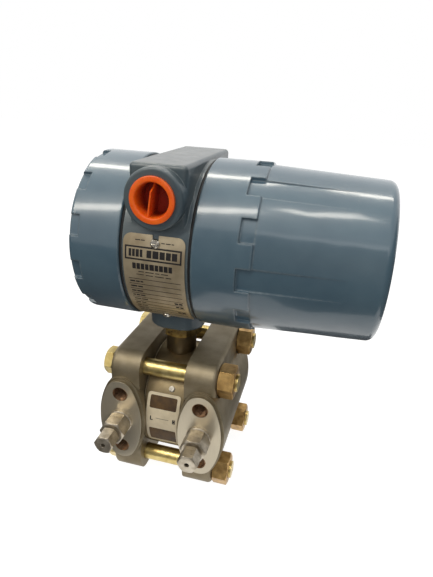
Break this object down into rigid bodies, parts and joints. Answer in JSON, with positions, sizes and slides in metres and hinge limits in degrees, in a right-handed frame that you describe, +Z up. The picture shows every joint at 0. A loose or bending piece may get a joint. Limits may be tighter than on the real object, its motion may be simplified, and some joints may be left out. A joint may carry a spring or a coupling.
{
  "type": "differential pressure transmitter",
  "caption": "Differential pressure transmitter: a round sensor cell bolted between two process flanges with vent valves, under a swivelling housing with two screwed covers.",
  "frame": {"origin": "middle of the low pressure side flange's foot, on which the transmitter stands; the swivel axis is 25.15 mm from it along +X", "axes": "+Z up, +X along the flange bolts from the low pressure side to the high pressure side and the long cover, +Y to the rear pads, away from the nameplate and the vent valves"},
  "size_m": [0.1734, 0.1215, 0.2155],
  "materials": {
    "cell_steel": "satin machined stainless",
    "diaphragm_alloy": "smooth foil",
    "insulator_glass": "fused",
    "neck_steel": "dark satin",
    "plated_steel": "yellow zinc plating",
    "cable_cover": "matte",
    "label_film": "printed film",
    "cast_stainless": "blasted casting, machined pads",
    "gasket_polymer": "matte",
    "vent_steel": "turned",
    "housing_paint": "glossy paint on cast aluminium",
    "nameplate_metal": "brushed plate",
    "seal_rubber": "matte",
    "plug_plastic": "moulded",
    "block_plastic": "moulded",
    "contact_metal": "nickel plated",
    "board_laminate": "solder mask"
  },
  "bodies": {
    "pressure_module": {"sensor_cell": "cell_steel", "sensing_diaphragm": "diaphragm_alloy", "glass_insulator_low": "insulator_glass", "glass_insulator_high": "insulator_glass", "isolating_diaphragm_low": "diaphragm_alloy", "isolating_diaphragm_high": "diaphragm_alloy", "neck_tube": "neck_steel", "neck_lock_nut": "plated_steel", "sensor_leads": "cable_cover", "cell_label": "label_film", "fill_plug": "cell_steel", "process_flange_low": "cast_stainless", "process_flange_high": "cast_stainless", "process_gasket_low": "gasket_polymer", "process_gasket_high": "gasket_polymer", "vent_seat_low": "vent_steel", "vent_seat_high": "vent_steel", "flange_bolts": "plated_steel", "flange_nuts": "plated_steel"},
    "housing": {"housing_body": "housing_paint", "nameplate": "nameplate_metal", "nameplate_screws": "nameplate_metal", "terminal_block": "block_plastic", "terminal_screws": "contact_metal", "board_posts": "contact_metal", "board_screws": "contact_metal", "sensor_board": "board_laminate", "calibration_board": "board_laminate", "amplifier_board": "board_laminate", "board_components": "block_plastic", "lead_connector": "cable_cover"},
    "terminal_seal": {"terminal_cover_seal": "seal_rubber"},
    "terminal_cover": {"terminal_cover": "housing_paint"},
    "electronics_seal": {"electronics_cover_seal": "seal_rubber"},
    "electronics_cover": {"electronics_cover": "housing_paint"},
    "conduit_plug": {"conduit_plug": "plug_plastic"},
    "zero_screw": {"zero_screw": "nameplate_metal"},
    "span_screw": {"span_screw": "nameplate_metal"},
    "vent_ball_low": {"vent_ball_low": "vent_steel"},
    "vent_stem_low": {"vent_stem_low": "vent_steel"},
    "vent_ball_high": {"vent_ball_high": "vent_steel"},
    "vent_stem_high": {"vent_stem_high": "vent_steel"}
  },
  "joints": [
    {"name": "housing_swivel", "type": "hinge", "parent": "pressure_module", "child": "housing", "pos_m": [0.02515, 0, 0.11], "axis": [0, 0, 1], "range_deg": [-90, 90]},
    {"name": "terminal_cover_turn", "type": "hinge", "parent": "housing", "child": "terminal_seal", "pos_m": [0.00485, 0, 0.1639], "axis": [-1, 0, 0], "range_deg": [0, 1800]},
    {"name": "terminal_cover_lift", "type": "slide", "parent": "terminal_seal", "child": "terminal_cover", "axis": [-1, 0, 0], "range_m": [0, 0.015]},
    {"name": "electronics_cover_turn", "type": "hinge", "parent": "housing", "child": "electronics_seal", "pos_m": [0.04435, 0, 0.1639], "axis": [1, 0, 0], "range_deg": [0, 1800]},
    {"name": "electronics_cover_lift", "type": "slide", "parent": "electronics_seal", "child": "electronics_cover", "axis": [1, 0, 0], "range_m": [0, 0.015]},
    {"name": "conduit_plug_draw", "type": "slide", "parent": "housing", "child": "conduit_plug", "axis": [0, -1, 0], "range_m": [0, 0.015]},
    {"name": "zero_turn", "type": "hinge", "parent": "housing", "child": "zero_screw", "pos_m": [0.01715, -0.045, 0.1639], "axis": [0, -1, 0], "continuous": true},
    {"name": "span_turn", "type": "hinge", "parent": "housing", "child": "span_screw", "pos_m": [0.03315, -0.045, 0.1639], "axis": [0, -1, 0], "continuous": true},
    {"name": "vent_lift_low", "type": "slide", "parent": "pressure_module", "child": "vent_ball_low", "axis": [0, -1, 0], "range_m": [0, 0.003]},
    {"name": "vent_turn_low", "type": "hinge", "parent": "vent_ball_low", "child": "vent_stem_low", "pos_m": [-0.00185, -0.06, 0.047], "axis": [0, -1, 0], "range_deg": [0, 902]},
    {"name": "vent_lift_high", "type": "slide", "parent": "pressure_module", "child": "vent_ball_high", "axis": [0, -1, 0], "range_m": [0, 0.003]},
    {"name": "vent_turn_high", "type": "hinge", "parent": "vent_ball_high", "child": "vent_stem_high", "pos_m": [0.05215, -0.06, 0.047], "axis": [0, -1, 0], "range_deg": [0, 902]}
  ],
  "couplings": [
    {"joint": "terminal_cover_lift", "follows": "terminal_cover_turn", "m_per_rad": 0.000477},
    {"joint": "electronics_cover_lift", "follows": "electronics_cover_turn", "m_per_rad": 0.000477},
    {"joint": "vent_turn_low", "follows": "vent_lift_low", "rad_per_m": 5235.9},
    {"joint": "vent_turn_high", "follows": "vent_lift_high", "rad_per_m": 5235.9}
  ]
}
